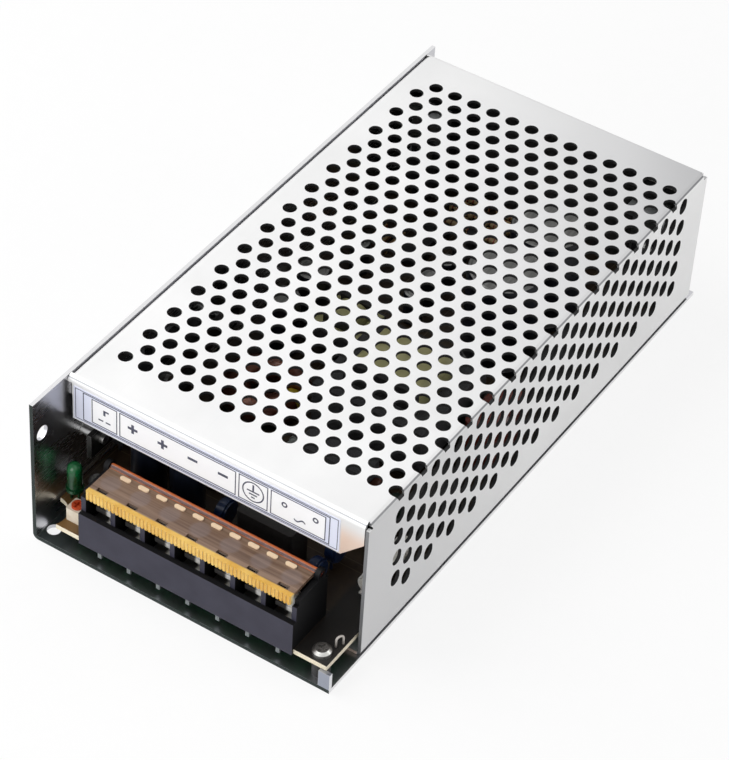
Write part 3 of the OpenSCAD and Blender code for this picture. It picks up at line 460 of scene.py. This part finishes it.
def strip_black():
    """Moulded black plastic, with painted shade on all but the front band and the fronts of the walls
    between ways.
    """
    f = Finish("strip_black")
    y, z = f.axes()[1:]
    ny = f.facing()[1]
    grain = f.noise(0.22, 2.0)
    cloud = f.noise(7.0, 3.0)
    rub = f.edges(0.18)
    band_top = 18.6
    ahead = (-ny).rise(0.8, 0.95)
    band = (y < FRONT + 0.6) * (z < band_top) * ahead
    wall_fronts = (y < FRONT + 1.8) * (z > band_top) * ahead
    # painted shade over all but the front band and the wall fronts
    deep = 1 - band.most(wall_fronts)
    tone = f.tones(cloud, (48, 47, 60), (57, 56, 69))
    tone = f.wash(tone, deep, 7, 7, 9)
    tone = f.wash(tone, rub * (1 - deep * 0.7) * 0.25, 92, 90, 102)
    rough = 0.40 + cloud * 0.10 + deep * 0.15 - rub * 0.08
    return f.coat(tone, rough, 0.0, f.bump(grain, 0.008), ior=1.46, specular_ior_level=0.22)


def bobbin_black():
    """Glass filled nylon of the bobbins."""
    f = Finish("bobbin_black")
    grain = f.noise(0.4, 2.0)
    fibre = f.noise(0.6, 2.0, (1, 0.2, 1))
    tone = f.ramp(fibre, (0.35, 20, 20, 21), (0.75, 44, 43, 42))
    return f.coat(tone, 0.5 + grain * 0.15, 0.0, f.bump(grain, 0.02))


def package_black():
    """Epoxy body of chips and power devices."""
    f = Finish("package_black")
    grain = f.noise(0.2, 2.0)
    cloud = f.noise(3.0, 2.0)
    tone = f.tones(cloud, (28, 28, 30), (42, 42, 44))
    return f.coat(tone, 0.55 + grain * 0.15, 0.0, f.bump(grain, 0.01))


def amber_plastic():
    """Clear amber cover: deep gold along its ribbed lip, smoky over the dark strip."""
    f = Finish("amber_plastic")
    x, y, z = f.axes()
    nx, _, nz = f.facing()
    streak = f.noise(1.1, 2.0, (0.035, 1, 1))
    cloud = f.noise(6.0, 3.0)
    # its three parts from front to rear: the lip, the plate and the hinge bar
    lip = 1 - y.rise(-96.9, -96.3)
    back = y.rise(-87.6, -87.0)
    plate = f.ramp(streak, (0.35, 104, 80, 64), (0.5, 126, 100, 82), (0.68, 146, 120, 100))
    gold = f.tones(cloud, (224, 170, 62), (246, 206, 110))
    # painted light on the rib sides, against the shadows between the ribs
    rib_side = abs(nx).rise(0.3, 0.7)
    gold = f.wash(gold, rib_side * 0.9, 255, 240, 190)
    # painted highlight along the top of the hinge bar, painted shade on the rest of it
    bar = f.ramp(nz, (0.90, 78, 30, 20), (0.99, 216, 116, 66))
    # the screw heads show through the plate as pale discs
    beside = off_middle(x)
    behind = y - screw_y
    away = (beside * beside + behind * behind).root()
    head = 1 - away.rise(2.2, 3.4)
    plate = f.wash(plate, head * 0.34, 140, 128, 128)
    tone = f.blend(lip, plate, gold)
    tone = f.blend(back, tone, bar)
    left = 1 - x.rise(-44.0, -30.0)
    tone = f.wash(tone, left * (1 - lip) * (1 - back) * 0.5, 176, 104, 48)
    # a row of beads stands a little proud of the plate, painted pale as highlights
    painted_bead_highlight = (z > 27.14) * (1 - back)
    tone = f.wash(tone, painted_bead_highlight, 255, 226, 190)
    rough = 0.16 + cloud * 0.10 + streak * 0.06
    return f.coat(tone, rough, 0.0, f.bump(streak, 0.012), ior=1.49, transmission_weight=0.12)


def amber_film():
    """Thin amber polyester sheet under the board."""
    return mottled("amber_film", 12.0, (150, 92, 34), (182, 122, 52), 0.22, 0.1, 0.15, ior=1.6)


def label_film():
    """Printed polyester label, faintly blue round its white fields, a little matt."""
    f = Finish("label_film")
    x, _, z = f.axes()
    tooth = f.noise(0.3, 2.0)
    soil = f.noise(14.0, 4.0)
    tone = f.ramp(soil, (0.3, 218, 222, 240), (0.75, 228, 231, 246))
    fields = x.between(-39.8, 35.9, 0.05) * z.between(37.5, 46.2, 0.05)
    tone = f.wash(tone, fields, 246, 246, 248)
    return f.coat(tone, 0.42 + tooth * 0.12, 0.0, f.bump(tooth, 0.004))


def label_ink():
    """Grey-blue printing ink, a little thin in places."""
    return mottled("label_ink", 0.8, (52, 54, 70), (86, 88, 108), 0.5, 0.1, 0.002)


def lamp_green():
    """Tinted epoxy of the power lamp, brighter where light gathers at its dome."""
    f = Finish("lamp_green")
    z = f.axes()[2]
    dome = z.rise(17.0, 22.5)
    swirl = f.noise(1.5, 2.0)
    tone = f.tones(swirl, (8, 62, 32), (16, 92, 48))
    tone = f.wash(tone, dome * 0.6, 34, 148, 80)
    return f.coat(tone, 0.12 + swirl * 0.1, 0.0, f.bump(swirl, 0.01), transmission_weight=0.35)


def trimmer_white():
    """Moulded body of the trimmer."""
    return mottled("trimmer_white", 2.0, (220, 206, 184), (238, 228, 212), 0.42, 0.1, 0.01, grain=0.3)


def rotor_orange():
    """Turning part of the trimmer."""
    return mottled("rotor_orange", 1.4, (190, 62, 24), (214, 88, 38), 0.38, 0.1, 0.012, grain=0.3)


def yellow_tape():
    """Polyester tape wound round the coils, with its overlapping edges."""
    f = Finish("yellow_tape")
    z = f.axes()[2]
    wrinkle = f.noise(5.0, 4.0)
    lap = (z + wrinkle * 0.5) % 4.4
    edge = lap.between(0.0, 0.18, 0.06)
    tone = f.tones(wrinkle, (184, 180, 126), (202, 198, 146))
    tone = f.wash(tone, edge * 0.6, 140, 124, 40)
    return f.coat(tone, 0.26 + wrinkle * 0.12, 0.0, f.bump(wrinkle + edge, 0.08))


def capacitor_sleeve():
    """Shrunk sleeve round the cans, with bare aluminium on top."""
    f = Finish("capacitor_sleeve")
    shrink = f.noise(2.4, 3.0, (1, 1, 0.3))
    brush = f.noise(0.5, 2.0, (1, 0.1, 1))
    top = f.facing()[2].rise(0.7, 0.95)
    sleeve = f.tones(shrink, (14, 17, 26), (24, 28, 40))
    bare = f.tones(brush, (158, 158, 156), (186, 186, 184))
    tone = f.blend(top, sleeve, bare)
    rough = 0.30 + top * 0.08 + shrink * 0.08
    return f.coat(tone, rough, top * 0.35, f.bump(shrink, 0.03))


def pad_grey():
    """Grainy grey sheet of the insulating pads."""
    f = Finish("pad_grey")
    weave = Number(f, f.cells(0.6)["Distance"])
    cloud = f.noise(4.0, 2.0)
    tone = f.tones(cloud, (120, 122, 124), (150, 152, 154))
    return f.coat(tone, 0.7 + cloud * 0.1, 0.0, f.bump(weave, 0.03))


# ---------------------------------------------------------------- board and its parts


def board_legend(x, y):
    """Thin printed outlines, as a board carries round its parts."""
    cell_x = (x + 3.0) % 14.6
    cell_y = (y + 5.0) % 19.3
    outside = cell_x.between(0.6, 12.8, 0.05) * cell_y.between(0.6, 17.4, 0.05)
    inside = cell_x.between(0.9, 12.5, 0.05) * cell_y.between(0.9, 17.1, 0.05)
    return (outside - inside).rise(0.3, 0.7)


def board_tracks(f, x):
    """Wide copper runs under the mask."""
    wander = f.noise(22.0, 1.0)
    run = (x + wander * 24.0) % 7.2
    return run.between(1.2, 5.9, 0.12)


def board():
    """Brown laminate: printed top, pale sawn edges, green mask with tracks below."""
    f = Finish("board")
    x, y = f.axes()[:2]
    nz = f.facing()[2]
    up = nz.rise(0.5, 0.8)
    down = (-nz).rise(0.5, 0.8)
    paper = f.noise(2.5, 5.0)
    fleck = f.noise(0.35, 2.0)
    # light reaches the front left corner, and the front right one is nearly black
    lit_corner = (1 - y.rise(-90.0, -80.0)) * (1 - x.rise(-38.0, -30.0))
    dim_corner = x.rise(35.5, 37.5) * (1 - y.rise(-64.0, -56.0))
    top = f.tones(paper, (40, 29, 17), (58, 43, 26))
    top = f.wash(top, lit_corner * 0.7, 132, 96, 48)
    top = f.wash(top, dim_corner * 0.9, 8, 7, 7)
    top = f.wash(top, board_legend(x, y) * (1 - dim_corner) * 0.12, 170, 160, 136)
    edge = f.tones(fleck, (224, 212, 184), (240, 230, 208))
    rail = board_tracks(f, x)
    mask = f.blend(rail, paint(10, 58, 36), paint(22, 92, 54))
    tone = f.blend(up, edge, top)
    tone = f.blend(down, tone, mask)
    rough = 0.45 - down * 0.2 + paper * 0.1
    height = paper * 0.4 + fleck * 0.3 + rail * down
    return f.coat(tone, rough, 0.0, f.bump(height, 0.03))


def ferrite():
    """Sintered grey cores with chipped edges. The driver's core is wound with tape."""
    f = Finish("ferrite")
    x, y, z = f.axes()
    grain = f.noise(0.3, 3.0)
    chip = f.edges(0.4)
    tone = f.tones(grain, (50, 50, 52), (74, 74, 76))
    tone = f.wash(tone, chip * 0.4, 112, 112, 114)
    low, high = (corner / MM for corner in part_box("driver_core"))
    taped = x.between(low.x, high.x, 0.05) * y.between(low.y + 0.6, high.y - 0.6, 0.05)
    taped = taped * (z < high.z + 0.2)
    tape = f.tones(grain, (190, 186, 132), (206, 202, 150))
    tone = f.blend(taped, tone, tape)
    return f.coat(tone, 0.55 + grain * 0.15 - taped * 0.2, 0.2 - taped * 0.2, f.bump(grain, 0.02))


def core_yellow():
    """Painted ring core of a choke."""
    return mottled("core_yellow", 0.5, (196, 168, 40), (222, 196, 70), 0.38, 0.12, 0.03)


def copper_wire():
    """Enamelled copper laid turn by turn."""
    f = Finish("copper_wire")
    drift = f.noise(3.0, 2.0)
    tone = f.tones(drift, (84, 46, 32), (116, 66, 46))
    return f.coat(tone, 0.24 + drift * 0.1, 0.6, f.bump(drift, 0.03), coat_weight=0.4)


def film_grey():
    """Dark potted boxes."""
    return mottled("film_grey", 0.8, (34, 31, 30), (46, 43, 42), 0.4, 0.1, 0.02)


def film_red():
    """Glossy dip round a film capacitor."""
    return mottled("film_red", 2.0, (100, 40, 32), (126, 56, 44), 0.2, 0.1, 0.08, coat_weight=0.5)


def ceramic_blue():
    """Blue dip round ceramic discs."""
    return mottled("ceramic_blue", 1.6, (13, 30, 62), (22, 46, 86), 0.26, 0.12, 0.06)


def ceramic_dark():
    """Dark green dip round a ceramic disc."""
    return mottled("ceramic_dark", 1.4, (30, 42, 36), (50, 64, 54), 0.36, 0.16, 0.08)


def fuse_ceramic():
    """Glazed tube of the fuse."""
    return mottled("fuse_ceramic", 2.0, (226, 222, 212), (242, 240, 232), 0.22, 0.1, 0.01)


def resistor_tan():
    """Lacquered bodies with coloured rings."""
    f = Finish("resistor_tan")
    x = f.axes()[0]
    ring_pitch = 1.9
    lacquer = f.noise(1.0, 3.0)
    tone = f.tones(lacquer, (190, 160, 112), (214, 186, 138))
    ring = (x % ring_pitch).between(0.2, 0.7, 0.04)
    drawn = f.cells(ring_pitch, (1, 0.05, 0.05))["Color"]
    split = f.add("ShaderNodeSeparateColor", None, {0: drawn})
    hue = f.ramp(split.outputs[0], (0.2, 120, 60, 20), (0.6, 170, 30, 24))
    tone = f.blend(ring * 0.8, tone, hue)
    return f.coat(tone, 0.34 + lacquer * 0.1, 0.0, f.bump(lacquer, 0.03))


def resistor_grey():
    """Cement round power resistors."""
    return mottled("resistor_grey", 0.7, (128, 134, 132), (158, 164, 162), 0.55, 0.15, 0.04)


# ---------------------------------------------------------------- pieces of the scene's own


def new_object(bm, name, material):
    """Makes a bmesh an object at the origin."""
    mesh = bpy.data.meshes.new(name)
    bm.to_mesh(mesh)
    bm.free()
    mesh.materials.append(material)
    made = bpy.data.objects.new(name, mesh)
    bpy.context.scene.collection.objects.link(made)
    return made


def finish_piece(bm, name, material, body):
    """Makes a bmesh a piece that rides on a body."""
    piece = new_object(bm, name, material)
    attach(piece, body)


# ---------------------------------------------------------------- label printing

# all in millimetres: the thickness of a frame's line and of the ink, how far right of its screw and how
# far up each pole's sign stands, and the share of the label's height that a field takes up
LINE = 0.32
INK_PROUD = 0.02
SIGN_SHIFT = 1.8
SIGN_UP = 0.6
FIELD_TALL = 0.74


def flat_bar(bm, place, wide, tall):
    """A filled oblong."""
    size = Matrix.Diagonal((wide * MM / 2, tall * MM / 2, 1.0, 1.0))
    made = bmesh.ops.create_grid(bm, x_segments=1, y_segments=1, size=1.0, matrix=place @ size)
    return made["verts"]


def open_middle(bm, verts, line):
    """Leaves a line round a flat face and takes the rest away."""
    face = verts[0].link_faces[0]
    bmesh.ops.inset_region(bm, faces=[face], thickness=line * MM, use_even_offset=True, use_boundary=True)
    bmesh.ops.delete(bm, geom=[face], context="FACES_ONLY")


def outline_ring(bm, place, radius, line):
    """A thin printed ring."""
    made = bmesh.ops.create_circle(bm, cap_ends=True, segments=40, radius=radius * MM, matrix=place)
    open_middle(bm, made["verts"], line)


def wave_mark(bm, place, wide, tall, line):
    """The sign for alternating current."""
    size = Matrix.Diagonal((wide * MM / 2, line * MM / 2, 1.0, 1.0))
    made = bmesh.ops.create_grid(bm, x_segments=16, y_segments=1, size=1.0, matrix=size)
    for vert in made["verts"]:
        vert.co.y += tall * MM * math.sin(vert.co.x / (wide * MM) * 2 * math.pi)
    bmesh.ops.transform(bm, matrix=place, verts=made["verts"])


def label_print(material):
    """Thin frames round the ways, with plain signs in them."""
    left, right = label_low.x / MM, label_high.x / MM
    front = label_low.y / MM - INK_PROUD
    mid = (label_low.z + label_high.z) / 2 / MM
    tall = (label_high.z - label_low.z) / MM
    signs = [x + SIGN_SHIFT for x in way_x]
    turned = Matrix.Rotation(math.radians(90), 4, "X")
    bm = bmesh.new()

    def place(x, up):
        """A spot on the label, up from its middle, that turns a flat shape's up side to the front."""
        return Matrix.Translation((x * MM, front * MM, (mid + up) * MM)) @ turned

    def field(x0, x1, share=FIELD_TALL, line=LINE):
        """A frame that takes up a share of the label's height."""
        verts = flat_bar(bm, place((x0 + x1) / 2, 0.0), x1 - x0, tall * share)
        open_middle(bm, verts, line)

    def bar(x, up, wide, high):
        flat_bar(bm, place(x, up), wide, high)

    field(left + 0.5, right - 0.5, 0.93, 0.22)
    field(left + 3.1, right - 3.0, 0.86)
    # four fields: the trimmer, the four poles, the earth, and the mains
    adjust_left = left + 6.0
    pole_left = signs[0] - 4.4
    adjust_right = pole_left - 0.7
    pole_right = signs[3] + 4.2
    earth_left = pole_right + 0.8
    earth_right = pole_right + 10.2
    mains_left = earth_right + 0.8
    field(adjust_left, adjust_right)
    field(pole_left, pole_right)
    field(earth_left, earth_right)
    field(mains_left, right - 4.3)
    # plus, plus, minus, minus
    for i, x in enumerate(signs[:4]):
        bar(x, SIGN_UP, 3.2, 0.9)
        if i < 2:
            bar(x, SIGN_UP + 1.02, 0.9, 1.15)
            bar(x, SIGN_UP - 1.02, 0.9, 1.15)
    # a plain mark for the trimmer
    adjust_x = (adjust_left + adjust_right) / 2
    bar(adjust_x, 1.2, 0.7, 1.9)
    bar(adjust_x + 0.9, 1.85, 1.1, 0.6)
    bar(adjust_x - 1.2, -1.9, 1.6, 0.5)
    bar(adjust_x + 1.2, -1.9, 1.6, 0.5)
    # the circled earth sign
    earth_x = (earth_left + earth_right) / 2
    outline_ring(bm, place(earth_x, 0.0), 3.5, 0.42)
    bar(earth_x, 1.4, 0.55, 2.4)
    for up, wide in ((0.1, 4.0), (-0.95, 2.6), (-2.0, 1.2)):
        bar(earth_x, up, wide, 0.5)
    # two rings and a wave for the mains
    for x in signs[5:]:
        outline_ring(bm, place(x, 1.2), 0.95, 0.95 / 2)
    wave_mark(bm, place((signs[5] + signs[6]) / 2, -2.0), 3.6, 0.5, 0.55)
    bmesh.ops.recalc_face_normals(bm, faces=bm.faces)
    for face in bm.faces:
        if face.normal.y > 0:
            face.normal_flip()
    finish_piece(bm, "label_print", material, "case")


# ---------------------------------------------------------------- wire link

LINK_RISE = 2.6 * MM
LINK_RADIUS = 0.32 * MM


def of_kind(made, kind, key="geom"):
    """The items of one kind in what an operator made."""
    return [item for item in made[key] if isinstance(item, kind)]


def arch_wire(bm, left, right, rise, thick):
    """A round wire that stands on two feet and bends over in a half circle."""
    span = (right - left).length
    along = (right - left).normalized()
    up = Vector((0, 0, 1))
    turn = Matrix((along, up.cross(along), up)).transposed().to_4x4()
    ring = bmesh.ops.create_circle(bm, cap_ends=True, segments=12, radius=thick)
    start = list({face for vert in ring["verts"] for face in vert.link_faces})
    lifted = bmesh.ops.extrude_face_region(bm, geom=start)
    bmesh.ops.translate(bm, vec=(0, 0, rise), verts=of_kind(lifted, bmesh.types.BMVert))
    bent = bmesh.ops.spin(
        bm, geom=of_kind(lifted, bmesh.types.BMFace), cent=(span / 2, 0, rise), axis=(0, 1, 0),
        dvec=(0, 0, 0), angle=math.pi, steps=16, use_merge=False, use_duplicate=False,
    )
    end = of_kind(bent, bmesh.types.BMFace, "geom_last")
    foot = bmesh.ops.extrude_face_region(bm, geom=end)
    bmesh.ops.translate(bm, vec=(0, 0, -rise), verts=of_kind(foot, bmesh.types.BMVert))
    bmesh.ops.transform(bm, matrix=Matrix.Translation(left) @ turn, verts=bm.verts)


def face_order(face):
    """A number that is each face's own, from its three lowest corners, so every run sorts alike."""
    first = sorted(vert.index for vert in face.verts)[:3]
    return first[0] * 1e6 + first[1] * 1e3 + first[2]


def earth_link(material):
    """Bare wire link beside the front screw, one clean skin with no walls left inside."""
    foot_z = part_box("circuit_board")[1].z - 0.2 * MM
    strip_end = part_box("terminal_housing")[1].x
    left = Vector((strip_end + 8.6 * MM, -91.2 * MM, foot_z))
    right = Vector((strip_end + 9.6 * MM, -89.2 * MM, foot_z))
    bm = bmesh.new()
    arch_wire(bm, left, right, LINK_RISE, LINK_RADIUS)
    bmesh.ops.remove_doubles(bm, verts=bm.verts, dist=1e-7)
    walls = [face for face in bm.faces if all(len(edge.link_faces) > 2 for edge in face.edges)]
    bmesh.ops.delete(bm, geom=walls, context="FACES_ONLY")
    bm.verts.index_update()
    bm.faces.sort(key=face_order)
    bmesh.ops.recalc_face_normals(bm, faces=bm.faces)
    for face in bm.faces:
        face.smooth = True
    finish_piece(bm, "earth_link", material, "case")


# ---------------------------------------------------------------- studio

FLOOR_GAP = 0.1 * MM
FLOOR_GLOW = 0.84
ROOM_LIGHT = 0.42


def floor():
    """A pale floor that looks nearly white and still takes the part's shadow."""
    f = Finish("floor_white")
    tooth = f.noise(6.0, 2.0)
    tone = f.tones(tooth, (240, 240, 240), (243, 243, 243))
    matt = f.add("ShaderNodeBsdfDiffuse", None, {"Color": tone})
    glow = f.add("ShaderNodeEmission", None, {"Color": WHITE, "Strength": 1.0})
    layers = {0: f.seen() * FLOOR_GLOW, 1: matt.outputs[0], 2: glow.outputs[0]}
    mixed = f.add("ShaderNodeMixShader", None, layers)
    f.add("ShaderNodeOutputMaterial", None, {"Surface": mixed.outputs[0]})
    bm = bmesh.new()
    bmesh.ops.create_grid(bm, x_segments=1, y_segments=1, size=6.0)
    bmesh.ops.translate(bm, vec=(0, 0, -FLOOR_GAP), verts=bm.verts)
    plane = new_object(bm, "floor", f.material)


def sky():
    """An even white room: full white where it is seen, gentler where it lights."""
    world = bpy.data.worlds.new("room")
    world.use_nodes = True
    room = Nodes(world.node_tree)
    lit = room.add("ShaderNodeBackground", None, {"Color": WHITE, "Strength": ROOM_LIGHT})
    shown = room.add("ShaderNodeBackground", None, {"Color": WHITE, "Strength": 1.0})
    layers = {0: room.seen(), 1: lit.outputs[0], 2: shown.outputs[0]}
    mixed = room.add("ShaderNodeMixShader", None, layers)
    room.add("ShaderNodeOutputWorld", None, {"Surface": mixed.outputs[0]})
    bpy.context.scene.world = world


def aimed(place, aim, roll):
    """A turn that looks from place to aim, with its up side leaned right by roll."""
    ahead = (Vector(aim) - Vector(place)).normalized()
    right = ahead.cross(Vector((0, 0, 1))).normalized()
    upward = right.cross(ahead)
    leaned = upward * math.cos(roll) + right * math.sin(roll)
    across = ahead.cross(leaned)
    return Matrix((across, leaned, -ahead)).transposed().to_4x4()


def hang(name, data, place, aim, roll=0.0):
    """Puts a lamp or a camera in place, aimed at a point."""
    holder = bpy.data.objects.new(name, data)
    holder.matrix_world = Matrix.Translation(place) @ aimed(place, aim, roll)
    bpy.context.scene.collection.objects.link(holder)
    return holder


def lamp(name, place, aim, size, power):
    """A soft square lamp."""
    data = bpy.data.lights.new(name, "AREA")
    data.shape = "SQUARE"
    data.size = size
    data.energy = power
    hang(name, data, place, aim)


def camera():
    """A long lens above and before the part, to its right, leaned a little."""
    data = bpy.data.cameras.new("camera")
    data.lens = 146.75
    data.sensor_width = 36.0
    data.clip_start = 0.02
    data.clip_end = 50.0
    stand = (0.33074, -0.56552, 0.61293)
    aim = (-0.00076, -0.00837, 0.01759)
    bpy.context.scene.camera = hang("camera", data, stand, aim, math.radians(-3.85))


# ---------------------------------------------------------------- dressing

finishes = (
    chassis_metal,
    cover_metal,
    zinc_screws,
    terminal_steel,
    tinned_metal,
    sink_metal,
    strip_black,
    bobbin_black,
    package_black,
    amber_plastic,
    amber_film,
    label_film,
    lamp_green,
    trimmer_white,
    rotor_orange,
    yellow_tape,
    capacitor_sleeve,
    pad_grey,
    board,
    ferrite,
    core_yellow,
    copper_wire,
    film_grey,
    film_red,
    ceramic_blue,
    ceramic_dark,
    fuse_ceramic,
    resistor_tan,
    resistor_grey,
)


def dress():
    """Gives each node of the model the finish of its material slot."""
    slots = {name: node.data.materials[0].name.split(".")[0] for name, node in nodes.items()}
    made = {make.__name__: make() for make in finishes}
    for name, node in nodes.items():
        node.data.materials.clear()
        node.data.materials.append(made[slots[name]])


dress()
label_print(label_ink())
earth_link(nodes["terminal_contacts"].data.materials[0])
floor()
sky()
lamp("key_lamp", (-0.55, -0.2, 0.75), (0, 0, 0.02), 0.7, 6.1)
lamp("front_lamp", (-0.15, -0.75, 0.30), (0, -0.09, 0.02), 0.5, 2.1)
lamp("side_lamp", (0.62, 0.42, 0.34), (0.05, 0.10, 0.02), 0.35, 1.1)
camera()
bpy.context.scene.view_settings.view_transform = "Standard"
